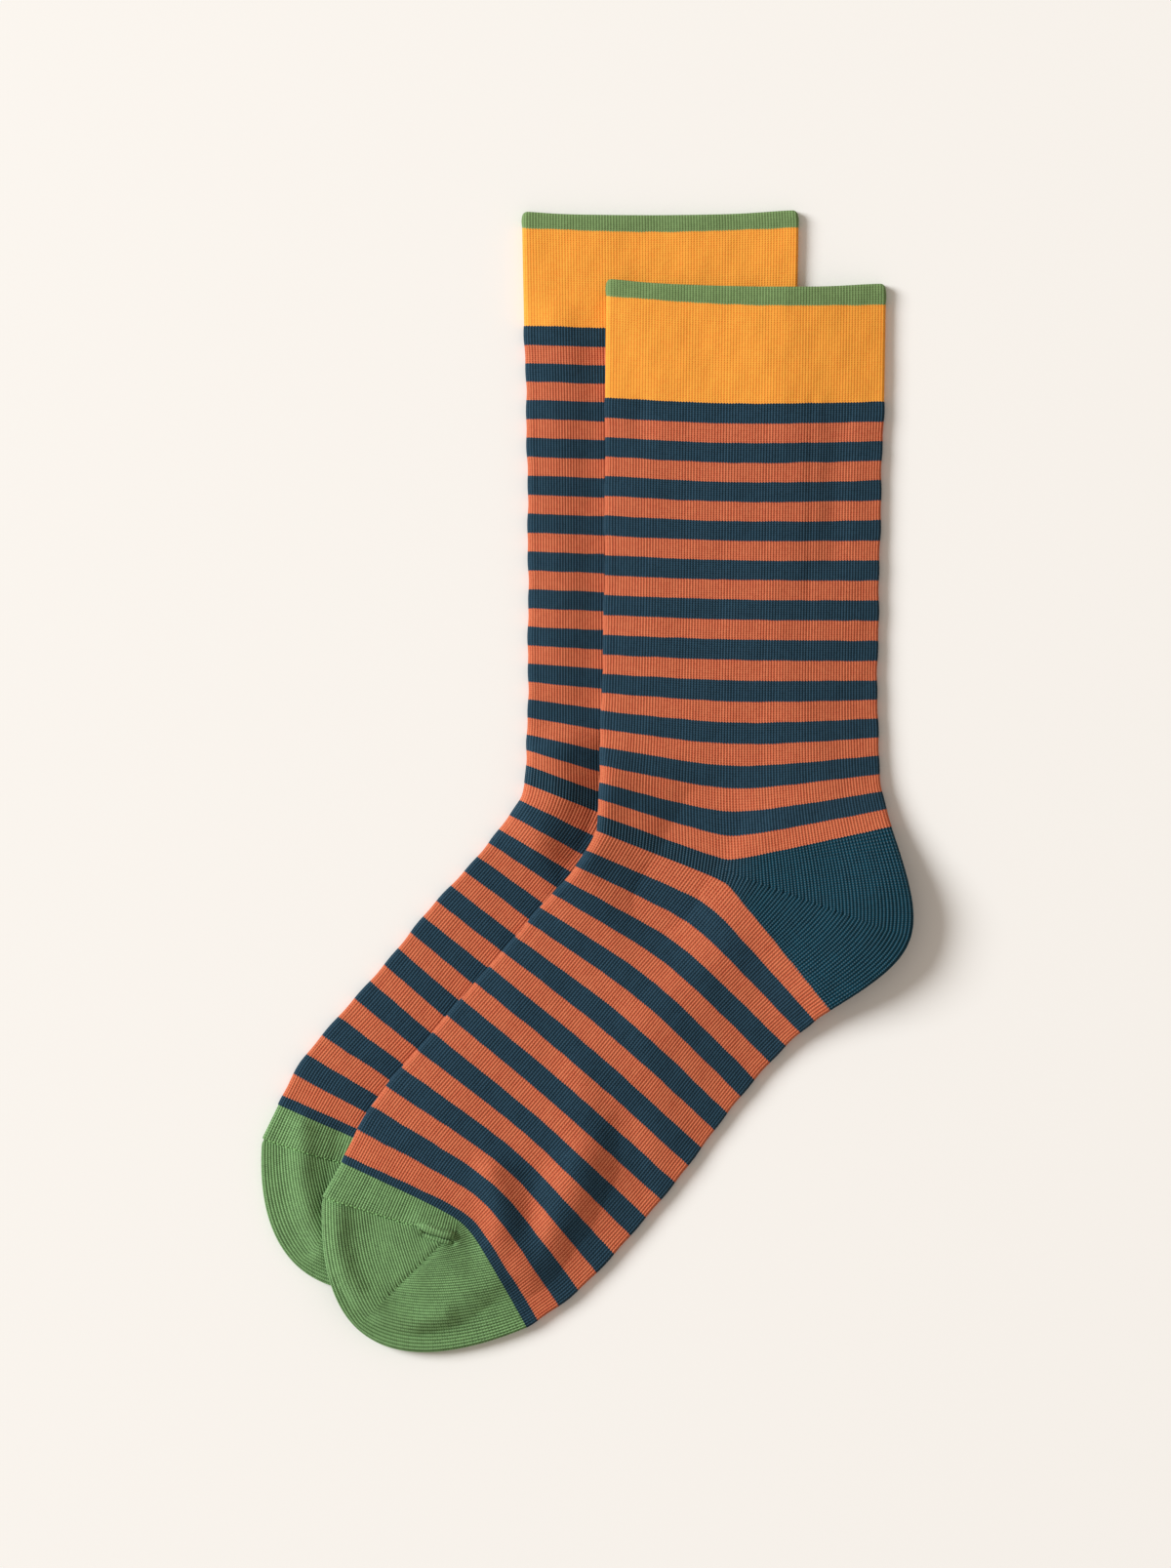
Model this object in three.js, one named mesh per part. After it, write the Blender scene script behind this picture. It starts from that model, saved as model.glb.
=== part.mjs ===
// A pair of knitted crew socks, lying on their sides on a flat surface, the upper one across the lower one.
// Each sock is one tube of cloth, pressed flat: a green welt, a yellow cuff, a striped leg, a heel pocket,
// a striped foot and a toe cap that a linked seam closes. Units are millimetres, +Z is up, and the surface
// is at Z = 0. +X runs from the instep to the heel and +Y from the toes to the cuff.
import * as THREE from 'three';

// Driving dimensions
const WALL = 1.1;             // the knitted cloth
const SEAM_GAP = 0.3;         // between neighbouring pieces of one sock
const FLAT_THICKNESS = 3.6;   // a flattened sock at its folded edges: two walls and the air between them
const LAY_GAP = 0.5;          // between the lower sock and the one that lies on it
const DRAPE_START = 3.5;      // the upper sock keeps its level this far past the edge of the lower one
const DRAPE_REACH = 14;       // and its underside reaches the surface this far past it
const DRAPE_LEAD = 4;         // its upper face starts to fall this far before that edge
const DRAPE_TAIL = 18;        // and has come down this far past it

// Where the pieces meet, in stripes counted from the yellow cuff; a stripe is one teal and one orange band
const WELT_TOP = -2.9;
const CUFF_TOP = -2.45;
const LEG_TOP = 0;
const HEEL_BAND = 0.5;
const FOOT_STRIPES = 9.65;

// Round a sock, a wale is named by its place across the flat: 0 at the instep fold, 1 at the sole fold
const HEEL_WALE = 0.45;       // where the heel pocket starts
const TOE_WALE = 0.5;         // where the toe seam ends
const ACROSS = [0, 0.11, 0.22, 0.33, 0.45, 0.5, 0.55, 0.67, 0.78, 0.89, 1];
const FOLD_ANGLES = [0, 45];  // extra columns round a folded edge, in degrees

// Back edge of the heel and front edge of the toe: cubic curves, each end with a handle (x, y)
const HEEL_EDGE = { start: [11, -33.3], end: [29.1, 17.9], gore: 0.5 };
const TOE_EDGE = { start: [-40.5, -16.7], end: [-2.3, -46], gore: 0.58 };
const GORE_FADE = 1.6;        // how fast a wale's turn at the gore softens towards the outer edge

const COLOURS = { teal: 0x24424f, orange: 0xc0643f, yellow: 0xec9c3e, green: 0x6a9a5c };

// Sections across each sock. course: stripes from the cuff. Then x and y of the instep fold, of the point
// where the course bends, and of the sole or back fold, and how round that bend is.
const UPPER = {
  name: 'upper',
  crown: 0.8,
  leg: [
    // course, instep x, y, bend x, y, sole x, y, round
    [-2.9, 5.6, 151.6, 43.7, 150.0, 90.3, 150.4, 0.30],
    [-2.45, 5.6, 147.0, 43.7, 144.6, 90.3, 144.9, 0.30],
    [0, 5.3, 116.2, 43.7, 114.4, 89.8, 115.2, 0.30],
    [2, 5.2, 92.6, 43.7, 90.6, 89.0, 91.4, 0.30],
    [5, 5.0, 56.6, 43.4, 55.2, 88.2, 55.0, 0.30],
    [7, 4.4, 32.4, 43.4, 30.7, 87.8, 30.8, 0.25],
    [9, 3.7, 10.3, 43.1, 4.9, 88.1, 8.1, 0.16],
    [10, 3.4, 0.0, 43.1, -8.8, 88.9, -2.7, 0.10],
    [11, 3.1, -9.7, 42.5, -23.3, 91.4, -13.3, 0.03],
  ],
  foot: [
    [11.5, 2.7, -14.5, 41.3, -30.3, 73.2, -69.0, 0.03],
    [12, -0.6, -20.4, 36.0, -37.2, 68.7, -72.3, 0.07],
    [13, -7.1, -29.5, 27.1, -49.0, 59.9, -79.9, 0.12],
    [14, -14.5, -37.8, 18.6, -60.2, 50.4, -90.0, 0.18],
    [16, -29.8, -55.5, 2.4, -82.3, 34.5, -110.6, 0.25],
    [18, -46.6, -74.9, -13.3, -103.8, 18.3, -131.3, 0.20],
    [20, -65.2, -97.3, -28.3, -122.4, -2.4, -153.4, 0.12],
    [21, -74.0, -113.1, -35.7, -131.9, -15.6, -163.4, 0.08],
    [21.15, -74.3, -114.6, -37.2, -133.6, -18.3, -164.9, 0.08],
  ],
  nub: [-80.2, -125.1],       // where the toe seam meets the instep fold
  seamEnd: [-40.1, -137.5],   // where it ends, in the middle of the side
  folds: [
    // x and y from, x and y to, half width, height
    [73, -38, 84, -42, 17, 3.6],
    [93, -34, 95, -50, 9, 2.6],
    [14, -9, 33, -25, 6, -0.7],
    [36, -36, 17, -62, 5, 0.8],
    [2, -91, -21, -158, 5, -0.8],
    [-30, -127, -17, -154, 4, -0.6],
    [-9, -112, -12, -129, 5, 0.7],
    [-66, -150, -47, -165, 7, 0.6],
  ],
};
const LOWER = {
  name: 'lower',
  crown: 0,
  leg: [
    [-2.9, -19.8, 172.0, 17.1, 171.4, 63.7, 172.0, 0.30],
    [-2.45, -19.8, 167.3, 17.1, 166.4, 63.9, 167.6, 0.30],
    [0, -19.2, 138.1, 18.3, 137.2, 63.4, 137.8, 0.30],
    [2, -18.6, 115.2, 18.6, 114.2, 63.1, 114.8, 0.30],
    [5, -18.1, 80.8, 18.9, 79.7, 62.2, 80.2, 0.30],
    [8, -18.0, 46.6, 19.2, 45.1, 62.2, 45.7, 0.30],
    [10, -18.1, 24.8, 19.5, 20.8, 62.8, 23.6, 0.16],
    [11, -18.3, 14.5, 19.8, 7.1, 64.0, 12.4, 0.10],
    [12, -18.6, 5.3, 20.1, -8.3, 67.3, 1.8, 0.03],
  ],
  foot: [
    [12.5, -19.2, 0.0, 18.9, -15.9, 50.7, -55.2, 0.03],
    [13, -20.7, -5.3, 14.5, -23.3, 46.9, -58.4, 0.07],
    [14, -26.8, -14.2, 6.2, -34.8, 38.6, -65.8, 0.12],
    [15, -33.6, -22.4, -1.8, -45.7, 29.8, -75.2, 0.18],
    [17, -49.9, -40.7, -17.1, -67.3, 15.0, -95.3, 0.25],
    [19, -65.5, -59.6, -32.2, -87.9, -0.3, -115.1, 0.20],
    [21, -85.0, -81.7, -46.6, -105.6, -20.1, -136.6, 0.12],
    [22, -92.6, -95.3, -53.7, -114.2, -33.3, -146.3, 0.08],
    [22.15, -93.5, -97.4, -55.2, -115.9, -36.0, -147.8, 0.08],
  ],
  nub: [-98.5, -107.7],
  seamEnd: [-58.4, -120.1],
  folds: [
    [-8, 8, -4, -22, 5, -0.7],
    [-80, -104, -84, -118, 6, -0.5],
  ],
};

// Rows of the mesh along each piece
const ROWS = { welt: 1, cuff: 3, leg: 11, heel: 9, foot: 12, toe: 9 };

const lerp = (a, b, t) => a + (b - a) * t;
const mix = (p, q, t) => [lerp(p[0], q[0], t), lerp(p[1], q[1], t)];
const distance = (p, q) => Math.hypot(p[0] - q[0], p[1] - q[1]);
const smooth = (from, to, value) => THREE.MathUtils.smoothstep(value, from, to);

function cubic(p0, p1, p2, p3, t) {
  const u = 1 - t;
  const at = (i) => u * u * u * p0[i] + 3 * u * u * t * p1[i] + 3 * u * t * t * p2[i] + t * t * t * p3[i];
  return [at(0), at(1)];
}

// A section between two rows of a table: a Hermite spline in the course number
function sectionAt(table, course) {
  const last = table.length - 1;
  let i = 0;
  while (i < last - 1 && table[i + 1][0] <= course) i += 1;
  const slope = (k, column) => {
    const before = table[Math.max(k - 1, 0)];
    const after = table[Math.min(k + 1, last)];
    return (after[column] - before[column]) / (after[0] - before[0]);
  };
  const span = table[i + 1][0] - table[i][0];
  const t = (course - table[i][0]) / span;
  const column = (k) => {
    const a = table[i][k];
    const b = table[i + 1][k];
    const ta = slope(i, k) * span;
    const tb = slope(i + 1, k) * span;
    return a + t * (ta + t * (3 * (b - a) - 2 * ta - tb + t * (2 * (a - b) + ta + tb)));
  };
  return {
    instep: [column(1), column(2)],
    bend: [column(3), column(4)],
    sole: [column(5), column(6)],
    round: column(7),
  };
}

// A point of one course: a chord from fold to fold, pushed out at the bend
function coursePoint(section, wale) {
  const toBend = distance(section.instep, section.bend);
  const bendWale = toBend / (toBend + distance(section.bend, section.sole));
  const hump = (w) => Math.hypot(w - bendWale, section.round);
  const tent = (w) => lerp(hump(0), hump(1), w) - hump(w);
  const push = tent(wale) / tent(bendWale);
  const chord = mix(section.instep, section.sole, wale);
  const foot = mix(section.instep, section.sole, bendWale);
  return [chord[0] + (section.bend[0] - foot[0]) * push, chord[1] + (section.bend[1] - foot[1]) * push];
}

// A wale of a turned pocket, from the course above it to the one below, turning at the gore
function pocketPoint(above, below, edge, outward, along) {
  const [from, to] = [above(1), below(1)];
  const handles = [
    [from[0] + edge.start[0], from[1] + edge.start[1]],
    [to[0] + edge.end[0], to[1] + edge.end[1]],
  ];
  const rim = (t) => cubic(from, handles[0], handles[1], to, t + (edge.gore - 0.5) * 4 * t * (1 - t));
  const corner = (p, q, r, t) => (t < 0.5 ? mix(p, q, 2 * t) : mix(q, r, 2 * t - 1));
  const gore = mix(mix(above(0), below(0), 0.5), rim(0.5), outward);
  const turned = corner(above(outward), gore, below(outward), along);
  const rimCorner = corner(from, rim(0.5), to, along);
  const soften = outward ** GORE_FADE;
  const rimPoint = rim(along);
  return [turned[0] + (rimPoint[0] - rimCorner[0]) * soften, turned[1] + (rimPoint[1] - rimCorner[1]) * soften];
}

// The pieces of one sock, each as a map from a wale and a place along it to a point of the plan
function pieces(sock) {
  const legEnd = sock.leg.at(-1)[0];
  const footStart = legEnd + HEEL_BAND;
  const footEnd = footStart + FOOT_STRIPES;
  const tube = (table, start, end) => (wale, along) => coursePoint(sectionAt(table, lerp(start, end, along)), wale);
  const aboveHeel = tube(sock.leg, legEnd, legEnd);
  const belowHeel = tube(sock.foot, footStart, footStart);
  const aboveToe = tube(sock.foot, footEnd, footEnd);
  const heelWale = (outward) => lerp(HEEL_WALE, 1, outward);
  const toeWale = (outward) => lerp(TOE_WALE, 1, outward);

  function heel(wale, along) {
    if (wale <= HEEL_WALE) return mix(aboveHeel(wale, 0), belowHeel(wale, 0), along);
    const outward = (wale - HEEL_WALE) / (1 - HEEL_WALE);
    const above = (o) => aboveHeel(heelWale(o), 0);
    const below = (o) => belowHeel(heelWale(o), 0);
    return pocketPoint(above, below, HEEL_EDGE, outward, along);
  }

  function toe(wale, along) {
    const outward = Math.abs(wale - TOE_WALE) / TOE_WALE;
    const seam = (o) => mix(sock.seamEnd, sock.nub, o);
    if (wale <= TOE_WALE) return mix(aboveToe(wale, 0), seam(outward), along);
    return pocketPoint((o) => aboveToe(toeWale(o), 0), seam, TOE_EDGE, outward, along);
  }

  return {
    welt: { at: tube(sock.leg, WELT_TOP, CUFF_TOP), colour: COLOURS.green },
    cuff: { at: tube(sock.leg, CUFF_TOP, LEG_TOP), colour: COLOURS.yellow },
    leg: { at: tube(sock.leg, LEG_TOP, legEnd), colour: COLOURS.orange },
    heel: { at: heel, colour: COLOURS.teal },
    foot: { at: tube(sock.foot, footStart, footEnd), colour: COLOURS.orange },
    toe: { at: toe, colour: COLOURS.green, closed: true },
  };
}

// The lower sock's outline, down the instep fold and back up the sole, for what lies on it
function outlineOf(sock) {
  const parts = Object.values(pieces(sock));
  const steps = [0, 0.125, 0.25, 0.375, 0.5, 0.625, 0.75, 0.875];
  const down = parts.flatMap((part) => steps.map((along) => part.at(0, along)));
  const up = parts.flatMap((part) => steps.map((along) => part.at(1, along)));
  return [...down, sock.nub, ...up.reverse()];
}
const lowerOutline = outlineOf(LOWER);

// Distance outside an outline, negative inside it
function outside(outline, p) {
  let nearest = Infinity;
  let inside = false;
  outline.forEach((a, i) => {
    const b = outline[(i + 1) % outline.length];
    const side = [b[0] - a[0], b[1] - a[1]];
    const dot = (p[0] - a[0]) * side[0] + (p[1] - a[1]) * side[1];
    const t = THREE.MathUtils.clamp(dot / (side[0] ** 2 + side[1] ** 2 || 1), 0, 1);
    nearest = Math.min(nearest, distance(p, mix(a, b, t)));
    const crosses = a[1] > p[1] !== b[1] > p[1];
    if (crosses && p[0] < a[0] + (side[0] * (p[1] - a[1])) / side[1]) inside = !inside;
  });
  return inside ? -nearest : nearest;
}

// Height of the soft folds at a point of the plan
function foldHeight(folds, p) {
  let height = 0;
  for (const [x0, y0, x1, y1, width, rise] of folds) {
    const side = [x1 - x0, y1 - y0];
    const dot = (p[0] - x0) * side[0] + (p[1] - y0) * side[1];
    const t = THREE.MathUtils.clamp(dot / (side[0] ** 2 + side[1] ** 2), 0, 1);
    const away = distance(p, [x0 + side[0] * t, y0 + side[1] * t]) / width;
    height += rise * Math.exp(-away * away);
  }
  return height;
}

// Underside and upper face of a sock at a point of the plan
function levels(sock, p, wale) {
  const body = FLAT_THICKNESS + sock.crown * Math.sin(Math.PI * wale) + foldHeight(sock.folds, p);
  if (sock === LOWER) return { bottom: 0, top: body };
  const lift = FLAT_THICKNESS + LAY_GAP;
  const past = outside(lowerOutline, p);
  return {
    bottom: lift * (1 - smooth(DRAPE_START, DRAPE_REACH, past)),
    top: lift * (1 - smooth(-DRAPE_LEAD, DRAPE_TAIL, past)) + body,
  };
}

// One closed ring of points round the flattened tube, inset by the wall for the inner face
function ringPoints(sock, at, along, inset) {
  const edgeStep = 0.01;
  const edges = [0, 1].map((wale) => {
    const edge = at(wale, along);
    const inner = at(Math.abs(wale - edgeStep), along);
    const level = levels(sock, edge, wale);
    return { radius: (level.top - level.bottom) / 2, speed: distance(edge, inner) / edgeStep };
  });
  const reach = edges.map((edge) => edge.radius / edge.speed);
  const face = [];
  const arc = (side, degrees) => {
    const angle = THREE.MathUtils.degToRad(degrees);
    const depth = inset + (edges[side].radius - inset) * (1 - Math.cos(angle));
    const wale = depth / edges[side].speed;
    face.push({ wale: side ? 1 - wale : wale, lift: Math.sin(angle) });
  };
  FOLD_ANGLES.forEach((degrees) => arc(0, degrees));
  for (const place of ACROSS) {
    const half = place < 0.5 ? lerp(reach[0], 0.5, place * 2) : lerp(0.5, 1 - reach[1], place * 2 - 1);
    face.push({ wale: half, lift: 1 });
  }
  [...FOLD_ANGLES].reverse().forEach((degrees) => arc(1, degrees));
  const point = ({ wale, lift }, sign) => {
    const p = at(wale, along);
    const level = levels(sock, p, wale);
    const middle = (level.top + level.bottom) / 2;
    const rise = ((level.top - level.bottom) / 2 - inset) * lift;
    return new THREE.Vector3(p[0], p[1], middle + sign * rise);
  };
  const upper = face.map((column) => point(column, 1));
  const under = face.slice(1, -1).map((column) => point(column, -1));
  return [...upper, ...under.reverse()];
}

// The wales of a piece, trimmed by half the gap where it meets its neighbours
function trimmed(part, firstEnd) {
  return (wale, along) => {
    const length = distance(part.at(wale, 0), part.at(wale, 0.5)) + distance(part.at(wale, 0.5), part.at(wale, 1));
    const cut = SEAM_GAP / 2 / length;
    return part.at(wale, lerp(firstEnd ? 0 : cut, part.closed ? 1 : 1 - cut, along));
  };
}

// A wall of cloth: an outer and an inner skin, joined at the open ends; a toe is closed along its seam
function clothWall(sock, part, rows, firstEnd) {
  const at = trimmed(part, firstEnd);
  const skins = [0, WALL].map((inset) =>
    Array.from({ length: rows + 1 }, (_, row) => ringPoints(sock, at, row / rows, inset)));
  const count = skins[0][0].length;
  const soleFold = count / 2;
  const twin = (j) => {
    const face = j <= soleFold ? j : count - j;
    const near = Math.min(face, soleFold - face);
    return j <= soleFold ? near : (count - near) % count;
  };
  const corner = (skin, row, j) => {
    const column = part.closed && row === rows ? twin(j % count) : j % count;
    return skins[skin][row][column];
  };
  const faces = [];
  const quad = (a, b, c, d) => faces.push([a, b, c], [a, c, d]);
  for (let j = 0; j < count; j += 1) {
    for (let row = 0; row < rows; row += 1) {
      quad(corner(0, row, j), corner(0, row + 1, j), corner(0, row + 1, j + 1), corner(0, row, j + 1));
      quad(corner(1, row, j), corner(1, row, j + 1), corner(1, row + 1, j + 1), corner(1, row + 1, j));
    }
    quad(corner(0, 0, j), corner(0, 0, j + 1), corner(1, 0, j + 1), corner(1, 0, j));
    if (!part.closed) {
      quad(corner(0, rows, j), corner(1, rows, j), corner(1, rows, j + 1), corner(0, rows, j + 1));
    }
  }
  const corners = [...new Set(faces.flat())];
  const numbers = new Map(corners.map((p, i) => [p, i]));
  const geometry = new THREE.BufferGeometry().setFromPoints(corners);
  geometry.setIndex(faces.flat().map((p) => numbers.get(p)));
  geometry.computeVertexNormals();
  return geometry;
}

// One sock, its pieces in order from the welt to the toe
function makeSock(sock) {
  const group = new THREE.Group();
  for (const [name, part] of Object.entries(pieces(sock))) {
    const geometry = clothWall(sock, part, ROWS[name], name === 'welt');
    const material = new THREE.MeshStandardMaterial({ color: part.colour, roughness: 0.9, metalness: 0 });
    const mesh = new THREE.Mesh(geometry, material);
    mesh.name = `${sock.name}_${name}`;
    group.add(mesh);
  }
  return group;
}

const pair = new THREE.Group();
pair.add(makeSock(LOWER), makeSock(UPPER));
export default pair;
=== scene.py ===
"""A pair of knitted crew socks, laid flat on a pale surface, the upper one across the lower one."""
import math
from itertools import product

import bmesh
import bpy
import numpy as np
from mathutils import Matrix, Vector


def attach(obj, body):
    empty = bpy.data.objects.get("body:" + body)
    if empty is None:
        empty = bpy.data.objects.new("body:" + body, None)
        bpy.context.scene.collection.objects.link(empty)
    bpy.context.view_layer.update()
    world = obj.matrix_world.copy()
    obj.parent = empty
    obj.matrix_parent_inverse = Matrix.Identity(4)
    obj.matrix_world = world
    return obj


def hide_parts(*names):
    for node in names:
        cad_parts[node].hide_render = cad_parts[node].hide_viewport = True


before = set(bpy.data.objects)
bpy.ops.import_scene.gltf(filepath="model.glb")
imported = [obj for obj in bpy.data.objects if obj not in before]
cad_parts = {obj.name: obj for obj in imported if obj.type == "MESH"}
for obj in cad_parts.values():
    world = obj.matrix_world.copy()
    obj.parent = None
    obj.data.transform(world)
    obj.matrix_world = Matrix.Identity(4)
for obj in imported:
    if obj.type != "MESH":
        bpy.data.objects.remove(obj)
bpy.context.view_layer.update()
scene = bpy.context.scene

# Camera
# It looks straight down on the pair from far above, as the photograph does, and takes in the same
# stretch of the surface. A long lens keeps the outline true.
PHOTO_TALL = 1607
PIXELS_PER_METRE = 3390
CAMERA_HEIGHT = 2.4
SOCK_LEVEL = 0.004
SENSOR = 36
view_tall = PHOTO_TALL / PIXELS_PER_METRE
bpy.ops.object.camera_add(location=(-0.0006, -0.0004, CAMERA_HEIGHT), rotation=(0, 0, 0))
camera = bpy.context.object
camera.name = "camera"
camera.data.sensor_width = SENSOR
camera.data.lens = SENSOR * (CAMERA_HEIGHT - SOCK_LEVEL) / view_tall
camera.data.clip_end = 10
scene.camera = camera

# Surface and light
# A plain pale table top, a wide soft lamp low on the left, and an even soft light from all round.
# The low lamp draws the ribs and the soft shadow on the right of each fold.
FLOOR_COLOUR = (0.91, 0.915, 0.90)
LAMP_PLACE = Vector((-9.6, 3.5, 6.2))
LAMP_SIZE = 5.8
LAMP_WATTS = 1730
LAMP_COLOUR = (0.99, 0.995, 1.0)
ROOM_COLOUR = (1.0, 0.86, 0.745)
ROOM_STRENGTH = 0.44

bpy.ops.mesh.primitive_plane_add(size=6, location=(0, 0, -0.0002))
floor = bpy.context.object
floor.name = "surface"
paper = bpy.data.materials.new("pale_surface")
paper.use_nodes = True
paper_shader = paper.node_tree.nodes["Principled BSDF"]
paper_shader.inputs["Base Color"].default_value = (*FLOOR_COLOUR, 1)
paper_shader.inputs["Roughness"].default_value = 0.9
paper_shader.inputs["Specular IOR Level"].default_value = 0.2
floor.data.materials.append(paper)

bpy.ops.object.light_add(type="AREA", location=LAMP_PLACE)
lamp = bpy.context.object
lamp.name = "window_lamp"
lamp.data.shape = "DISK"
lamp.data.size = LAMP_SIZE
lamp.data.energy = LAMP_WATTS
lamp.data.color = LAMP_COLOUR
lamp.rotation_euler = LAMP_PLACE.to_track_quat("Z", "Y").to_euler()

world = bpy.data.worlds.new("soft_room")
world.use_nodes = True
world.node_tree.nodes["Background"].inputs["Color"].default_value = (*ROOM_COLOUR, 1)
world.node_tree.nodes["Background"].inputs["Strength"].default_value = ROOM_STRENGTH
scene.world = world
scene.view_settings.view_transform = "Standard"

# Welts
# The green turned edge round each opening: fine knit folded over at the top, so its rim is round and
# it is knitted on to the cuff in one go. The knit's whole cut is worked out here, for all the pieces.
MM = 0.001
WALES = 98              # ribs of the knit across one flattened face
STEPS = 3               # mesh columns to a wale
WALL = 1.1
FLAT_THICKNESS = 3.6
EDGE_THICKNESS = (3.1, 2.5)     # at the instep fold and at the sole fold
EDGE_ROUNDNESS = (1, 0.62)      # depth of each fold's bend, by half the thickness there
CUFF_FLATTER = 0.7
CROWN_POWER = (5, 2)    # how near each fold the cloth's crown falls away
LAY_GAP = 0.5
DRAPE_START = 3.5
DRAPE_REACH = 14
DRAPE_LEAD = 4
DRAPE_TAIL = 30
EDGE_LIFT = 0.1         # how much thicker the upper sock stays at its far edge
COURSES = 18            # rows of stitches to a stripe
SWELL_REACH = 2.5
WELT_TOP, CUFF_TOP, LEG_TOP = -2.9, -2.45, 0
HEEL_BAND, FOOT_STRIPES = 0.5, 9.65
HEEL_WALE, TOE_WALE = 0.45, 0.5
HEEL_EDGE = {"start": (11, -33.3), "end": (29.1, 17.9), "gore": 0.5}
GORE_FADE = 2.8

# Each sock's sections: stripes from the cuff, then x and y in millimetres of the instep fold, of the
# point where the course bends and of the sole fold, and how round that bend is. Then its soft folds:
# half width, height, and the points of the plan that each runs through.
UPPER = {
    "name": "upper",
    "crown": 1.4,
    "cuff_line": 115,
    "leg": [
        (-2.9, 5.6, 151.6, 43.7, 150.0, 90.3, 150.0, 0.30),
        (-2.45, 5.6, 147.3, 43.7, 144.7, 90.3, 144.9, 0.30),
        (0, 5.3, 116.2, 43.7, 114.4, 89.8, 115.2, 0.30),
        (2, 5.2, 92.6, 43.7, 90.6, 89.0, 91.4, 0.30),
        (5, 5.0, 56.6, 43.4, 55.2, 88.2, 55.0, 0.30),
        (7, 4.4, 32.8, 43.4, 30.8, 87.8, 30.8, 0.25),
        (9, 3.7, 10.8, 43.1, 5.1, 88.2, 8.1, 0.16),
        (10, 3.4, 0.0, 43.1, -8.8, 89.3, -2.7, 0.10),
        (11, 3.1, -9.7, 42.5, -23.3, 91.9, -13.3, 0.03),
    ],
    "foot": [
        (11.5, 2.7, -14.5, 41.3, -30.3, 73.2, -69.0, 0.03),
        (12, -0.6, -20.4, 36.0, -37.2, 68.7, -72.3, 0.07),
        (13, -7.1, -29.5, 27.1, -49.0, 59.9, -79.9, 0.12),
        (14, -14.5, -37.8, 19.0, -59.8, 50.4, -90.0, 0.18),
        (16, -30.0, -55.8, 2.6, -82.1, 34.3, -110.8, 0.25),
        (18, -47.3, -75.7, -13.0, -103.5, 17.5, -132.1, 0.20),
        (20, -65.8, -98.2, -28.2, -122.2, -3.2, -154.1, 0.12),
        (21, -74.0, -113.1, -35.7, -131.9, -15.6, -163.4, 0.08),
        (21.15, -74.3, -114.6, -37.2, -133.6, -18.3, -164.9, 0.08),
    ],
    "nub": (-80.2, -125.1),
    "seam_end": (-40.1, -137.5),
    "toe_edge": {"start": (-40.5, -16.7), "end": (-2.3, -46), "gore": 0.58},
    "lifts": [(24, 6.0, (99, -37), (91, -63)), (2.6, 0.6, (-52.1, -133.5), (-39.7, -137.0))],
    "folds": [
        (20, 1.5, (84, -36), (77, -55)),
        (6, -0.9, (58, -22), (78, -31), (92, -42)),
        (5, 0.6, (58, -13), (66, -25)),
        (8, 3.1, (5, 1), (-2, -20)),
        (17, 1.7, (6, -6), (-3, -24)),
        (12, -3.6, (36, -10), (22, -35)),
        (8, 1.3, (42, -48), (19, -72)),
        (7, 1.2, (-1.5, -89), (-1, -112)),
        (6.5, 2.6, (-2, -116), (-8.5, -131), (-17, -143), (-25, -149)),
        (6, -1.5, (11, -104), (12, -119), (4, -138), (-7, -154), (-21, -164), (-36, -168)),
        (5, 2.3, (-29, -118), (-26.5, -131), (-28, -142)),
        (4.5, -1.5, (-16.5, -120), (-16.8, -141)),
        (7, 1.2, (-43, -141), (-35, -152)),
        (1.6, -0.25, (67.8, 115.6), (66.7, 50.7)),
        (5, -1.0, (75, 111), (73, 68)),
        (4, -0.9, (15, 112), (16, 104)),
        (13, 0.6, (-48, -150), (-44, -152)),
        (3.4, 2.0, (-75.5, -129), (-75.9, -138), (-73.6, -147.5), (-68.8, -155.2), (-61.6, -160.8), (-52.5, -163),
         (-43, -161)),
        (2.4, -1.1, (-76.6, -152), (-72, -160.3), (-64.2, -165.7), (-53, -168.3), (-41, -166)),
        (5, -1.5, (-27, -145), (-24, -152), (-30, -162)),
        (6, -0.9, (-67, -136), (-66, -147), (-58, -154)),
        (2.2, 0.9, (-50.5, -131.4), (-42.4, -134.2)),
    ],
    "tucks": [
        (1.3, -0.9, (-49.2, -136.2), (-41.4, -138.7)),
        (0.8, -0.45, (-40.2, -138.9), (-39.0, -137.4), (-39.4, -135.9)),
    ],
}
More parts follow.
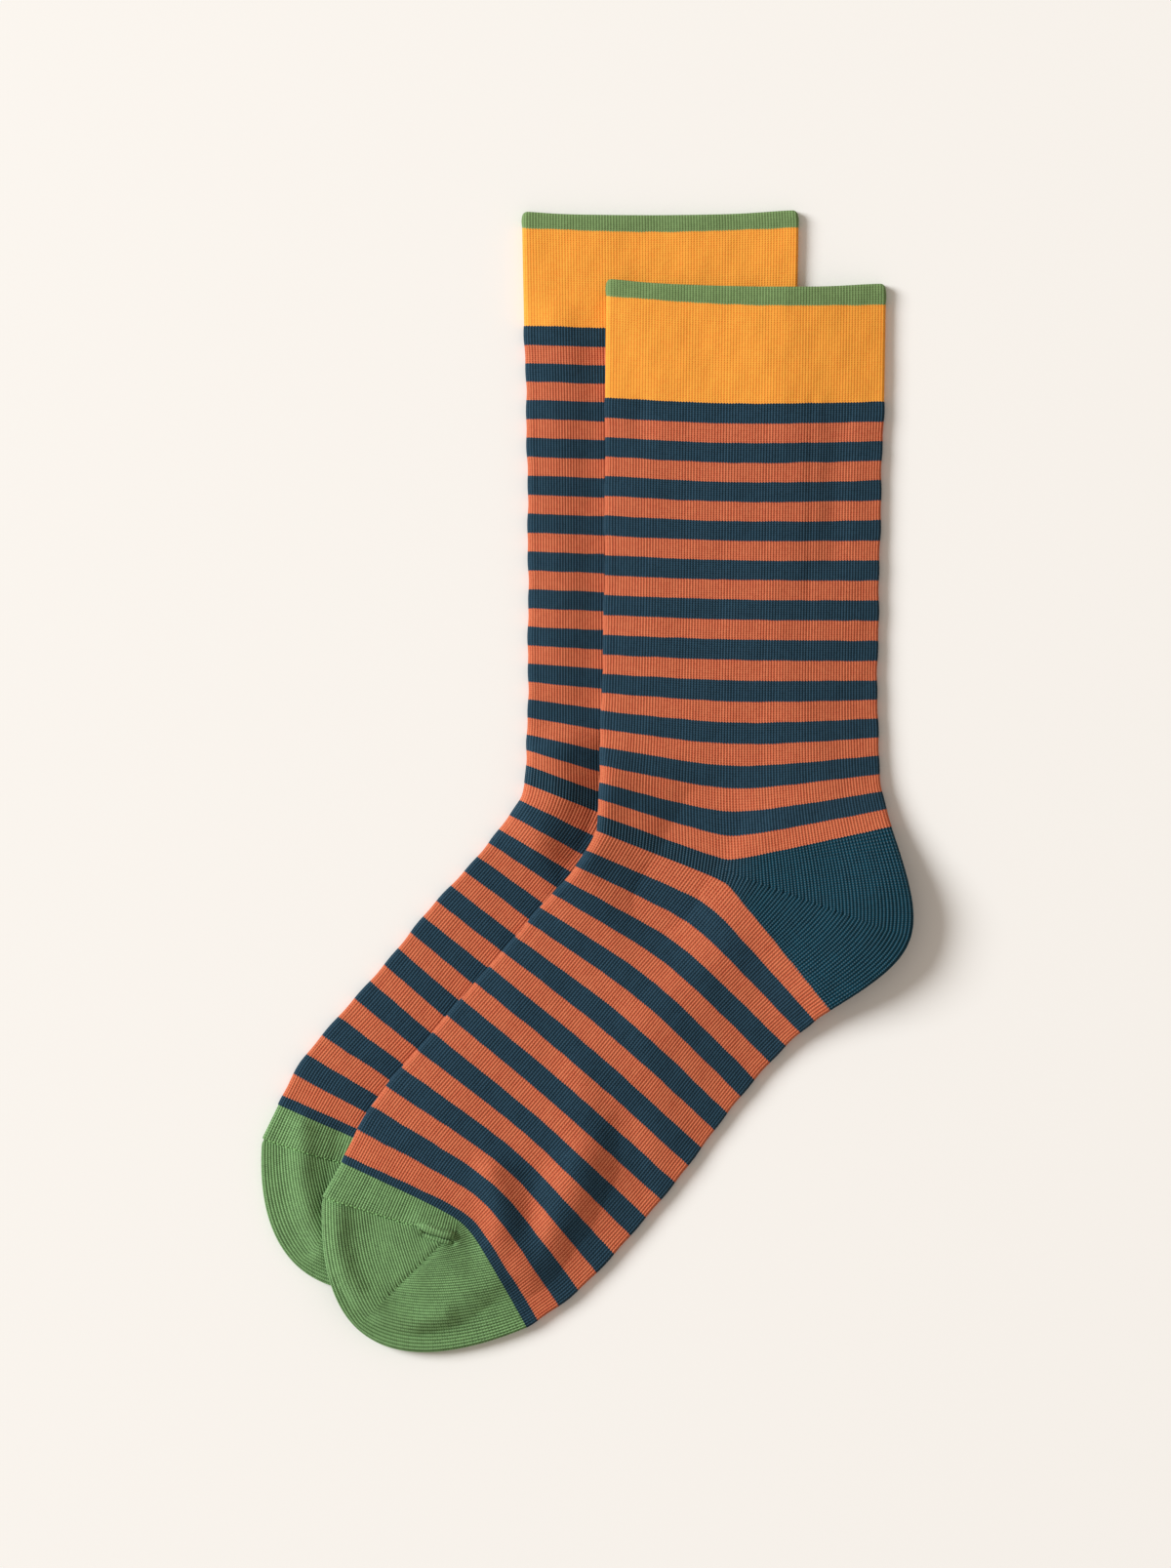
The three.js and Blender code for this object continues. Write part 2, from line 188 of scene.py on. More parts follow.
LOWER = {
    "name": "lower",
    "crown": 0.7,
    "cuff_line": 138,
    "leg": [
        (-2.9, -19.8, 172.2, 17.1, 171.7, 63.7, 172.4, 0.30),
        (-2.45, -19.8, 168.1, 17.1, 166.9, 63.9, 168.3, 0.30),
        (0, -19.2, 138.1, 18.3, 137.2, 63.4, 137.8, 0.30),
        (2, -18.6, 115.7, 18.6, 114.7, 63.1, 115.3, 0.30),
        (5, -18.1, 81.3, 18.9, 80.2, 62.2, 80.7, 0.30),
        (8, -18.0, 47.1, 19.2, 45.6, 62.2, 46.2, 0.30),
        (10, -18.1, 25.1, 19.5, 21.1, 62.8, 23.9, 0.16),
        (11, -18.3, 14.5, 19.8, 7.1, 64.0, 12.4, 0.10),
        (12, -18.6, 5.3, 20.1, -8.3, 67.3, 1.8, 0.03),
    ],
    "foot": [
        (12.5, -19.2, 0.0, 18.9, -15.9, 50.7, -55.2, 0.03),
        (13, -20.7, -5.3, 14.5, -23.3, 46.9, -58.4, 0.07),
        (14, -26.8, -14.2, 6.2, -34.8, 38.6, -65.8, 0.12),
        (15, -33.6, -22.4, -1.8, -45.7, 29.8, -75.2, 0.18),
        (17, -49.9, -40.7, -17.1, -67.3, 15.0, -95.3, 0.25),
        (19, -66.1, -60.4, -32.8, -88.6, -0.3, -115.1, 0.20),
        (21, -85.6, -82.6, -47.3, -106.4, -20.1, -136.6, 0.12),
        (22, -92.6, -95.3, -53.7, -114.2, -33.3, -146.3, 0.08),
        (22.15, -93.5, -97.4, -55.2, -115.9, -36.0, -147.8, 0.08),
    ],
    "nub": (-98.5, -107.7),
    "seam_end": (-58.4, -120.1),
    "toe_edge": {"start": (-39.4, -15.4), "end": (-3.4, -43.2), "gore": 0.58},
    "lifts": [(2.6, 0.6, (-70.4, -116.1), (-58.0, -119.6))],
    "folds": [
        (8, 1.4, (-9.5, 138), (-9.5, 30)),
        (6, 2.0, (-15.5, 8), (-16, -4), (-22, -15)),
        (6.5, 3.4, (-8.2, 9), (-8.6, -4), (-14.5, -17)),
        (5.5, -2.0, (7, 10), (6, -6), (2.5, -18), (-5, -28)),
        (4.5, -0.4, (1, 128), (1, 20)),
        (4.0, 2.6, (-86, -104), (-86.6, -118), (-84.6, -131), (-80, -141)),
        (3.2, -1.4, (-75, -107), (-76.4, -121), (-74.6, -134)),
    ],
    "tucks": [],
}
SOCKS = (LOWER, UPPER)


def mix(a, b, t):
    return a + (b - a) * t


def length(v):
    return np.sqrt((v * v).sum(-1))


def smooth(low, high, value):
    t = np.clip((value - low) / (high - low), 0, 1)
    return t * t * (3 - 2 * t)


def section_at(table, course):
    """The sections of a sock at these courses, by a Hermite spline through the table's rows."""
    rows = np.array(table, float)
    at, columns = rows[:, 0], rows[:, 1:]
    before = np.maximum(np.arange(len(rows)) - 1, 0)
    after = np.minimum(np.arange(len(rows)) + 1, len(rows) - 1)
    slopes = (columns[after] - columns[before]) / (at[after] - at[before])[:, None]
    i = np.clip(np.searchsorted(at, course, side="right") - 1, 0, len(rows) - 2)
    span = (at[i + 1] - at[i])[..., None]
    t = (course - at[i])[..., None] / span
    a, b = columns[i], columns[i + 1]
    ta, tb = slopes[i] * span, slopes[i + 1] * span
    return a + t * (ta + t * (3 * (b - a) - 2 * ta - tb + t * (2 * (a - b) + ta + tb)))


def course_point(table, course, wale):
    """Points of the plan on these courses: a chord from fold to fold, pushed out at the bend."""
    course, wale = np.broadcast_arrays(np.asarray(course, float), np.asarray(wale, float))
    section = section_at(table, course)
    instep, bend, sole = section[..., 0:2], section[..., 2:4], section[..., 4:6]
    soft = section[..., 6]
    to_bend = length(bend - instep)
    bend_wale = to_bend / (to_bend + length(sole - bend))

    def hump(w):
        return np.hypot(w - bend_wale, soft)

    def tent(w):
        return mix(hump(0), hump(1), w) - hump(w)

    push = (tent(wale) / tent(bend_wale))[..., None]
    chord = mix(instep, sole, wale[..., None])
    return chord + (bend - mix(instep, sole, bend_wale[..., None])) * push


def pocket_point(above, below, edge, outward, along):
    """Points of a turned pocket: each wale runs from the course above it to the one below, turning at the gore."""
    outward, along = np.broadcast_arrays(np.asarray(outward, float), np.asarray(along, float))
    first, last = above(np.float64(1)), below(np.float64(1))
    handles = first + np.array(edge["start"]), last + np.array(edge["end"])

    def rim(s):
        s = (s + (edge["gore"] - 0.5) * 4 * s * (1 - s))[..., None]
        u = 1 - s
        return u**3 * first + 3 * u * u * s * handles[0] + 3 * u * s * s * handles[1] + s**3 * last

    def corner(p, q, r, s):
        s = s[..., None]
        return np.where(s < 0.5, mix(p, q, 2 * s), mix(q, r, 2 * s - 1))

    tip = mix(above(np.float64(0)), below(np.float64(0)), 0.5)
    rim_gore = rim(np.float64(0.5))
    gore = mix(tip, rim_gore, outward[..., None])
    turned = corner(above(outward), gore, below(outward), along)
    bulge = rim(along) - corner(first, rim_gore, last, along)
    return turned + bulge * (outward**GORE_FADE)[..., None]


def outside(outline, p):
    """Distance of points outside an outline, negative inside it."""
    nearest = np.full(p.shape[:-1], np.inf)
    inside = np.zeros(p.shape[:-1], bool)
    for a, b in zip(outline, np.roll(outline, -1, axis=0)):
        side = b - a
        t = np.clip(((p - a) @ side) / max(side @ side, 1e-9), 0, 1)
        nearest = np.minimum(nearest, length(p - a - t[..., None] * side))
        if a[1] != b[1]:
            crosses = (a[1] > p[..., 1]) != (b[1] > p[..., 1])
            inside ^= crosses & (p[..., 0] < a[0] + side[0] * (p[..., 1] - a[1]) / side[1])
    return np.where(inside, -nearest, nearest)


def ridge_height(ridges, p, power=2):
    """Height of soft ridges and troughs at points of the plan."""
    height = np.zeros(p.shape[:-1])
    for width, rise, *path in ridges:
        away = np.full(p.shape[:-1], np.inf)
        for start, end in zip(path, path[1:]):
            side = np.array(end) - start
            t = np.clip(((p - start) @ side) / (side @ side), 0, 1)
            away = np.minimum(away, length(p - start - t[..., None] * side))
        height += rise * np.exp(-(away / width) ** power)
    return height


def crumple(p):
    """The cloth's own slight unevenness, up to a quarter of a millimetre."""
    x, y = p[..., 0], p[..., 1]
    return (0.15 * np.sin(0.21 * x + 0.9 * np.sin(0.05 * y)) * np.sin(0.083 * y + 0.4)
            + 0.09 * np.sin(0.43 * x - 0.13 * y + 1.7) * np.sin(0.31 * y + 0.11 * x)
            + 0.04 * np.sin(0.9 * x + 0.35 * y) * np.sin(0.74 * y - 0.2 * x + 2.1))


def piece_maps(sock):
    """Each piece of a sock, as a map from a wale and a place along it to a point of the plan."""
    leg_end = sock["leg"][-1][0]
    foot_start = leg_end + HEEL_BAND
    foot_end = foot_start + FOOT_STRIPES

    def tube(table, start, end):
        return lambda wale, along: course_point(table, mix(start, end, np.asarray(along)), wale)

    def above_heel(wale):
        return course_point(sock["leg"], leg_end, wale)

    def below_heel(wale):
        return course_point(sock["foot"], foot_start, wale)

    def above_toe(wale):
        return course_point(sock["foot"], foot_end, wale)

    def seam(outward):
        return mix(np.array(sock["seam_end"]), np.array(sock["nub"]), np.asarray(outward)[..., None])

    def heel(wale, along):
        wale, along = np.broadcast_arrays(np.asarray(wale, float), np.asarray(along, float))
        outward = np.clip((wale - HEEL_WALE) / (1 - HEEL_WALE), 0, 1)
        pocket = pocket_point(lambda o: above_heel(mix(HEEL_WALE, 1, o)),
                              lambda o: below_heel(mix(HEEL_WALE, 1, o)), HEEL_EDGE, outward, along)
        band = mix(above_heel(wale), below_heel(wale), along[..., None])
        return np.where((wale > HEEL_WALE)[..., None], pocket, band)

    def toe(wale, along):
        wale, along = np.broadcast_arrays(np.asarray(wale, float), np.asarray(along, float))
        outward = np.abs(wale - TOE_WALE) / TOE_WALE
        pocket = pocket_point(lambda o: above_toe(mix(TOE_WALE, 1, o)), seam, sock["toe_edge"], outward, along)
        top = mix(above_toe(wale), seam(outward), along[..., None])
        return np.where((wale > TOE_WALE)[..., None], pocket, top)

    return {
        "welt": tube(sock["leg"], WELT_TOP, CUFF_TOP),
        "cuff": tube(sock["leg"], CUFF_TOP, LEG_TOP),
        "leg": tube(sock["leg"], LEG_TOP, leg_end),
        "heel": heel,
        "foot": tube(sock["foot"], foot_start, foot_end),
        "toe": toe,
    }


def outline_of(sock):
    steps = np.arange(0, 1, 0.125)
    maps = piece_maps(sock).values()
    down = np.concatenate([at(np.zeros(8), steps) for at in maps])
    up = np.concatenate([at(np.ones(8), steps) for at in maps])
    return np.concatenate([down, [sock["nub"]], up[::-1]])


lower_outline = outline_of(LOWER)


def levels(sock, p, wale, detail):
    """Height of the middle of the flattened sock and half its thickness, at points of the plan."""
    plump = 1 - np.abs(2 * wale - 1) ** np.where(wale < 0.5, *CROWN_POWER)
    crown = sock["crown"] * (1 - CUFF_FLATTER * smooth(sock["cuff_line"] - 12, sock["cuff_line"], p[..., 1]))
    body = mix(*EDGE_THICKNESS, wale) + crown * plump + detail(p)
    body = body + ridge_height(sock["folds"], p) + ridge_height(sock["tucks"], p, 4)
    bottom = ridge_height(sock["lifts"], p)
    top = bottom + np.maximum(body, 2 * WALL + 0.2)
    if sock is UPPER:
        lift = FLAT_THICKNESS + LAY_GAP
        past = outside(lower_outline, p)
        fall = np.clip((past + DRAPE_LEAD) / (DRAPE_TAIL + DRAPE_LEAD), 0, 1)
        fall = mix(fall, smooth(0, 1, fall), 0.4)
        bottom = bottom + lift * (1 - smooth(DRAPE_START, DRAPE_REACH, past))
        top = top + mix(lift, EDGE_LIFT, fall)
    return (top + bottom) / 2, (top - bottom) / 2


def skin(sock, at, along, columns, inset, groove, shift, swell, detail):
    """Rows of points round the flattened tube, some way inside its outer face, with a groove at each wale."""
    half = columns // 4
    row = along[:, None]
    sides = []
    for edge, inner in ((0.0, 0.01), (1.0, 0.99)):
        at_edge = at(np.full_like(along, edge), along)
        speed = length(at_edge - at(np.full_like(along, inner), along)) / 0.01
        radius = levels(sock, at_edge, edge, lambda p: 0)[1] * mix(*EDGE_ROUNDNESS, edge)
        sides.append((radius[:, None], speed[:, None]))
    step = np.arange(columns)
    face = np.where(step <= 2 * half, step, columns - step)
    near = np.minimum(face, 2 * half - face)
    sole = face > half
    radius = np.where(sole, sides[1][0], sides[0][0])
    speed = np.where(sole, sides[1][1], sides[0][1])
    bend = radius * np.pi / 2
    reach = near / half * (bend + speed / 2 - radius)
    angle = np.minimum(reach / radius, np.pi / 2)
    deep = inset(row, face / (2 * half)) + groove * (step % STEPS == 0)
    depth = deep + (radius - deep) * (1 - np.cos(angle))
    depth = np.where(reach > bend, radius + reach - bend, depth)
    wale = np.minimum((depth - swell(row) * np.exp(-depth / SWELL_REACH)) / speed, 0.5)
    wale = np.where(sole, 1 - wale, wale)
    p = at(wale, row + shift(row, wale))
    middle, thick = levels(sock, p, wale, detail)
    side = np.where(step <= 2 * half, 1, -1)
    z = np.maximum(middle + side * (thick - deep) * np.sin(angle), 0)
    return np.concatenate([p, z[..., None]], axis=-1)


def plain_courses(first, last):
    return lambda share, along, late: mix(first, last, along)


def turned_courses(first_wale, band, at_rim):
    """Courses of a turned pocket: more of them the farther out, counted in from both its ends."""
    def course(share, along, late):
        outward = np.clip((share - first_wale) / (1 - first_wale), 0, 1)
        count = mix(band, at_rim, outward)
        return np.where(late & (share > first_wale), at_rim - (1 - along) * count, along * count)
    return course


def none(row, share=0):
    return 0 * row * share


def stripe_swell(start, end):
    """How far the folded edge swells out at each teal stripe, and wanders between them."""
    def swell(row):
        course = mix(start, end, row)
        return 0.13 * np.cos(2 * np.pi * (course - 0.25)) + 0.14 * np.sin(2.3 * course + 1.1)
    return swell


def knit_shell(name, sock, at, along, courses, groove=0.22, closed=False, rolled=False,
               inset=none, shift=none, swell=none):
    """A piece of the sock: a ribbed outer skin and a plain inner one, joined at its open ends."""
    columns = 2 * STEPS * WALES
    inner_rows = max(2, len(along) // 6)
    inner_along = np.linspace(along[0], along[-1], inner_rows)
    outer = skin(sock, at, along, columns, inset, groove, shift, swell, crumple)
    inner = skin(sock, at, inner_along, columns, lambda row, share: WALL + none(row, share), 0, shift, swell, crumple)
    inner = inner[:, ::STEPS]
    count = columns // STEPS
    places = np.concatenate([outer.reshape(-1, 3), inner.reshape(-1, 3)]) * MM

    def corner(base, rows, around, row, k):
        k = np.asarray(k) % around
        if closed:
            face = np.where(k <= around // 2, k, around - k)
            near = np.minimum(face, around // 2 - face)
            twin = np.where(k <= around // 2, near, (around - near) % around)
            k = np.where(row == rows - 1, twin, k)
        return base + row * around + k

    quads, knit, bake = [], [], []
    last = len(along) - 1
    for base, rows, around, turn, low, high in (
        (0, len(along), columns, 1, 0.01, 0.87),
        (len(along) * columns, inner_rows, count, -1, 0.89, 0.99),
    ):
        row, k = np.meshgrid(np.arange(rows - 1), np.arange(around), indexing="ij")
        row, k = row.ravel(), k.ravel()
        ring = [(row, k), (row + 1, k), (row + 1, k + 1), (row, k + 1)][::turn]
        quads.append(np.stack([corner(base, rows, around, r, c) for r, c in ring], -1))
        lengthwise = along if turn == 1 else inner_along
        late = lengthwise[row] + lengthwise[row + 1] > 1
        share = np.where(k < around // 2, 0, 1)
        share = [np.abs(share * 2 - c * 2 / around) for _, c in ring]
        knit.append(np.stack([np.stack([c * (2 * WALES / around), courses(w, lengthwise[r], late)], -1)
                              for (r, c), w in zip(ring, share)], 1))
        bake.append(np.stack([np.stack([mix(low, high, c / around), mix(0.01, 0.99, r / (rows - 1))], -1)
                              for r, c in ring], 1))
    quads, knit, bake = np.concatenate(quads), np.concatenate(knit), np.concatenate(bake)
    faces = quads.tolist()
    rims = []
    inner_base = len(along) * columns
    for j in range(count):
        outward = [int(corner(0, last + 1, columns, 0, STEPS * j + i)) for i in range(STEPS + 1)]
        inward = [int(corner(inner_base, inner_rows, count, 0, j + i)) for i in (1, 0)]
        rims.append(outward + inward)
    if not closed:
        for j in range(count):
            outward = [int(corner(0, last + 1, columns, last, STEPS * j + i)) for i in range(STEPS, -1, -1)]
            inward = [int(corner(inner_base, inner_rows, count, inner_rows - 1, j + i)) for i in (0, 1)]
            rims.append(outward + inward)
    mesh = bpy.data.meshes.new(name)
    mesh.from_pydata(places, [], faces + rims)
    for title, uv in (("Knit", knit), ("OFBake", bake)):
        layer = mesh.uv_layers.new(name=title)
        rim_uv = np.tile([0.995 if title == "OFBake" else 0, 0.005], (sum(map(len, rims)), 1))
        layer.data.foreach_set("uv", np.concatenate([uv.reshape(-1, 2), rim_uv]).ravel().astype(np.float32))
    mesh.polygons.foreach_set("use_smooth", np.ones(len(mesh.polygons), bool))
    ends = np.zeros(len(places), int)
    ends[:columns] = 1
    if not closed:
        ends[last * columns:(last + 1) * columns] = 2
    if rolled:
        ends[ends == 1] = 0
    edge = np.zeros(len(mesh.edges) * 2, int)
    mesh.edges.foreach_get("vertices", edge)
    edge = ends[edge.reshape(-1, 2)]
    mesh.attributes.new("sharp_edge", "BOOLEAN", "EDGE").data.foreach_set(
        "value", (edge[:, 0] > 0) & (edge[:, 0] == edge[:, 1]))
    mesh.update()
    used = np.unique(np.concatenate([quads.ravel(), np.array([c for r in rims for c in r])]))
    if len(used) < len(places):
        drop_loose(mesh, used)
    piece = bpy.data.objects.new(name, mesh)
    scene.collection.objects.link(piece)
    return piece


def drop_loose(mesh, used):
    """Deletes the points that the closing seam leaves without a face."""
    work = bmesh.new()
    work.from_mesh(mesh)
    work.verts.ensure_lookup_table()
    keep = set(used.tolist())
    bmesh.ops.delete(work, geom=[v for v in work.verts if v.index not in keep], context="VERTS")
    work.to_mesh(mesh)
    work.free()


class Nodes:
    """Short hand for a material's nodes."""

    def __init__(self, material):
        self.tree = material.node_tree
        self.shader = self.tree.nodes["Principled BSDF"]

    def add(self, kind, **values):
        node = self.tree.nodes.new(kind)
        for key, value in values.items():
            setattr(node, key, value)
        return node

    def feed(self, socket, value):
        if isinstance(value, bpy.types.NodeSocket):
            self.tree.links.new(value, socket)
        else:
            socket.default_value = value

    def sum(self, operation, *values):
        node = self.add("ShaderNodeMath", operation=operation)
        for socket, value in zip(node.inputs, values):
            self.feed(socket, value)
        return node.outputs[0]

    def blend(self, share, first, second, kind="MIX"):
        node = self.add("ShaderNodeMix", data_type="RGBA", blend_type=kind)
        for socket, value in ((node.inputs[0], share), (node.inputs[6], first), (node.inputs[7], second)):
            self.feed(socket, (*value, 1) if isinstance(value, tuple) else value)
        return node.outputs[2]

    def noise(self, place, scale, detail=2.0, roughness=0.5):
        node = self.add("ShaderNodeTexNoise")
        self.feed(node.inputs["Vector"], place)
        node.inputs["Scale"].default_value = scale
        node.inputs["Detail"].default_value = detail
        node.inputs["Roughness"].default_value = roughness
        return node.outputs["Fac"]


PAINTED_HIGHLIGHT_COLOUR = (0.78, 0.79, 0.77)      # pale grey painted on the crown of each loop as a painted highlight, where the fibres' sheen would catch the light


def knit_material(name, yarn, second_yarn=None, edges=(), contrast=1.0, painted_shade_red_power=1.0, painted_highlight=0.0, pocket_yarn=None):
    """Knitted yarn: wales and slanting stitches in relief, fibres of uneven tone, and painted shade in the grooves
    between wales and loops, which keeps more red on warm yarn as painted bounce light; a painted highlight on each
    loop's crown."""
    material = bpy.data.materials.new(name)
    material.use_nodes = True
    n = Nodes(material)
    uv = n.add("ShaderNodeUVMap", uv_map="Knit").outputs["UV"]
    parts = n.add("ShaderNodeSeparateXYZ")
    n.feed(parts.inputs[0], uv)
    wale, course = parts.outputs[0], parts.outputs[1]
    turn = n.sum("MULTIPLY", wale, 2 * math.pi)
    rib = n.sum("MULTIPLY_ADD", n.sum("COSINE", turn), -0.5, 0.5)
    slant = n.sum("ABSOLUTE", n.sum("SUBTRACT", n.sum("FRACT", wale), 0.5))
    slanted = n.sum("ADD", course, slant)
    stitch = n.sum("MULTIPLY_ADD", n.sum("COSINE", n.sum("MULTIPLY", slanted, 2 * math.pi)), 0.5, 0.5)
    wander = n.sum("MULTIPLY_ADD", n.noise(uv, 0.12), 0.9, n.sum("MULTIPLY_ADD", slant, 1.0, -0.5))
    toothed = n.sum("ADD", course, wander)
    colour = yarn
    if second_yarn:
        share = n.sum("LESS_THAN", n.sum("FRACT", n.sum("DIVIDE", toothed, COURSES)), TEAL_SHARE)
        colour = n.blend(share, yarn, second_yarn)
        painted_shade_red_power = n.sum("MULTIPLY_ADD", share, 1.2 - painted_shade_red_power, painted_shade_red_power)
    if pocket_yarn:
        from_sole = n.sum("ABSOLUTE", n.sum("MULTIPLY_ADD", wale, 1 / WALES, -1))
        share = n.sum("MULTIPLY_ADD", from_sole, -8, 8 * (1 - HEEL_WALE))
        share.node.use_clamp = True
        colour = n.blend(share, colour, pocket_yarn)
    for kind, limit, edge_yarn in edges:
        colour = n.blend(n.sum(kind, toothed, limit), colour, edge_yarn)
    long_way = n.add("ShaderNodeCombineXYZ")
    n.feed(long_way.inputs[0], n.sum("MULTIPLY", wale, 0.55))
    n.feed(long_way.inputs[1], n.sum("MULTIPLY", course, 0.05))
    streaks = n.noise(long_way.outputs[0], 1.0, 2.0)
    cell = n.add("ShaderNodeCombineXYZ")
    n.feed(cell.inputs[0], n.sum("FLOOR", wale))
    n.feed(cell.inputs[1], n.sum("FLOOR", slanted))
    loop = n.add("ShaderNodeTexWhiteNoise", noise_dimensions="2D")
    n.feed(loop.inputs["Vector"], cell.outputs[0])
    needle = n.add("ShaderNodeTexWhiteNoise", noise_dimensions="1D")
    n.feed(needle.inputs["W"], n.sum("FLOOR", wale))
    fibres = n.noise(uv, 2.3, 3.0, 0.7)
    patches = n.noise(n.add("ShaderNodeTexCoord").outputs["Object"], 55, 3.0, 0.6)
    # Random tone of the yarn from fibres, loops, needles, patches and streaks, times painted shade: darker in the
    # grooves between the wales (rib) and between the loops (stitch).
    tone_and_painted_shade = 1.0
    for part, depth in (
        (fibres, 0.26), (loop.outputs["Value"], 0.22), (needle.outputs["Value"], 0.12), (patches, 0.13),
        (streaks, 0.24), (n.sum("POWER", rib, 0.6), 0.60), (stitch, 0.38),
    ):
        depth = depth * contrast
        tone_and_painted_shade = n.sum("MULTIPLY", n.sum("MULTIPLY_ADD", part, depth, 1 - 0.6 * depth), tone_and_painted_shade)
    tone_and_painted_shade = n.sum("MINIMUM", tone_and_painted_shade, 1.0)
    # The red channel follows the painted groove shade less on warm yarn, as painted bounce light from the yarn in its
    # own grooves.
    grey = n.add("ShaderNodeCombineColor")
    for socket, kept in zip(grey.inputs, (painted_shade_red_power, 1, 1)):
        n.feed(socket, n.sum("POWER", tone_and_painted_shade, kept))
    colour = n.blend(1.0, colour, grey.outputs[0], "MULTIPLY")
    # Painted highlight: the crown of each loop is blended towards a pale grey, the same whatever the lamp.
    crown = n.sum("MULTIPLY", n.sum("POWER", n.sum("MULTIPLY", rib, stitch), 1.5), painted_highlight)
    n.feed(n.shader.inputs["Base Color"], n.blend(crown, colour, PAINTED_HIGHLIGHT_COLOUR))
    relief = n.sum("ADD", n.sum("MULTIPLY", rib, 0.6), n.sum("MULTIPLY", stitch, 0.4))
    relief = n.sum("ADD", relief, n.sum("MULTIPLY", fibres, 0.3))
    relief = n.sum("ADD", relief, n.sum("MULTIPLY", loop.outputs["Value"], 0.2))
    bump = n.add("ShaderNodeBump")
    bump.inputs["Strength"].default_value = min(0.7 * contrast, 0.8)
    bump.inputs["Distance"].default_value = 0.00025
    n.feed(bump.inputs["Height"], relief)
    n.feed(n.shader.inputs["Normal"], bump.outputs["Normal"])
    n.shader.inputs["Roughness"].default_value = 0.85
    n.shader.inputs["Specular IOR Level"].default_value = 0.08
    n.shader.inputs["Sheen Weight"].default_value = 0.06
    n.shader.inputs["Sheen Roughness"].default_value = 0.45
    n.shader.inputs["Sheen Tint"].default_value = (*(0.3 + 0.7 * part for part in (second_yarn or yarn)), 1)
    return material


def finish_piece(piece, material, node):
    """Gives a piece its yarn, attaches it to the root body and hides the solid that it stands for."""
    piece.data.materials.append(material)
    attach(piece, "root")
    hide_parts(node)


TEAL_SHARE = 0.508
GREEN_YARN = (0.203, 0.400, 0.156)
WELT_YARN = (0.198, 0.322, 0.126)
YELLOW_YARN = (0.91, 0.405, 0.060)
ORANGE_YARN = (0.630, 0.184, 0.086)
TEAL_YARN = (0.021, 0.060, 0.097)
HEEL_YARN = (0.0025, 0.0590, 0.0990)
BAND_YARN = (0.010, 0.052, 0.088)

green_knit = knit_material("green_knit", WELT_YARN, contrast=0.85, painted_highlight=0.04)
maps = {sock["name"]: piece_maps(sock) for sock in SOCKS}
WELT_LONG = 5.3
WELT_CORNER = 1.8
FACE_WIDE = 85
WELT_SWELL = 0.18
RIM = WALL / 2
rim_turn = np.radians([90, 65, 40, 20, 0])
welt_rows = np.concatenate([RIM * (1 - np.sin(rim_turn)) / WELT_LONG, np.linspace(0.2, 1, 6)])


def welt_inset(row, share):
    """The rim rolls over a half round, and the doubled knit swells a little below it."""
    rise = np.clip(1 - row * WELT_LONG / RIM, 0, 1)
    return RIM * (1 - np.sqrt(1 - rise * rise)) - WELT_SWELL * np.sin(np.pi * row) + none(row, share)


def welt_shift(row, wale):
    """Rounds the two corners of the opening, which flare up a little."""
    across = wale * FACE_WIDE
    near = np.clip(WELT_CORNER - np.minimum(across, FACE_WIDE - across), 0, WELT_CORNER)
    corner = WELT_CORNER - np.sqrt(WELT_CORNER**2 - near**2)
    flare = 0.7 * np.exp(-(across / 9) ** 2) + 1.0 * np.exp(-((FACE_WIDE - across) / 14) ** 2)
    return (corner - flare) / WELT_LONG * (1 - row)


for sock in SOCKS:
    name = sock["name"]
    piece = knit_shell(f"{name}_welt_knit", sock, maps[name]["welt"], welt_rows,
                       plain_courses(WELT_TOP * COURSES, CUFF_TOP * COURSES), groove=0.1, rolled=True, inset=welt_inset, shift=welt_shift)
    finish_piece(piece, green_knit, f"{name}_welt")

# Cuffs
# The yellow close-knit band under each welt, with an elastic yarn laid in, so its ribs stand closer
# and it lies a little flatter than the leg. It is knitted on to both its neighbours.
CUFF_ROWS = 24
CUFF_EDGES = [("LESS_THAN", CUFF_TOP * COURSES + 0.7, WELT_YARN), ("GREATER_THAN", LEG_TOP, TEAL_YARN)]
yellow_knit = knit_material("yellow_knit", YELLOW_YARN, edges=CUFF_EDGES, contrast=0.7, painted_shade_red_power=0.2)
for sock in SOCKS:
    name = sock["name"]
    along = np.linspace(0, 1, CUFF_ROWS + 1)
    piece = knit_shell(f"{name}_cuff_knit", sock, maps[name]["cuff"], along, plain_courses(CUFF_TOP * COURSES, LEG_TOP),
                       groove=0.03)
    finish_piece(piece, yellow_knit, f"{name}_cuff")

# Legs
# A plain knitted tube in even teal and orange stripes, the colour changed every nine courses.
LEG_ROWS = 100
striped_knit = knit_material("striped_knit", ORANGE_YARN, TEAL_YARN, contrast=1.3, painted_shade_red_power=0.45, painted_highlight=0.03)
for sock in SOCKS:
    name = sock["name"]
    along = np.linspace(0, 1, LEG_ROWS + 1)
    leg_end = sock["leg"][-1][0]
    piece = knit_shell(f"{name}_leg_knit", sock, maps[name]["leg"], along, plain_courses(LEG_TOP, leg_end * COURSES),
                       swell=stripe_swell(LEG_TOP, leg_end))
    finish_piece(piece, striped_knit, f"{name}_leg")

# Heels
# The teal pocket, turned on half the needles, so its wales meet at a slanting gore. The teal stripe
# that runs on round the instep is knitted with it.
HEEL_ROWS = 60
HEEL_COURSES = 90
GORE_ROWS = np.array([-0.016, -0.011, -0.006, 0, 0.006, 0.011, 0.016])
HEEL_EDGES = [("LESS_THAN", 0, ORANGE_YARN), ("GREATER_THAN", HEEL_COURSES, ORANGE_YARN)]


def gore_rows(count):
    plain = np.linspace(0, 1, count + 1)
    return np.sort(np.concatenate([plain[abs(plain - 0.5) > 0.019], 0.5 + GORE_ROWS]))


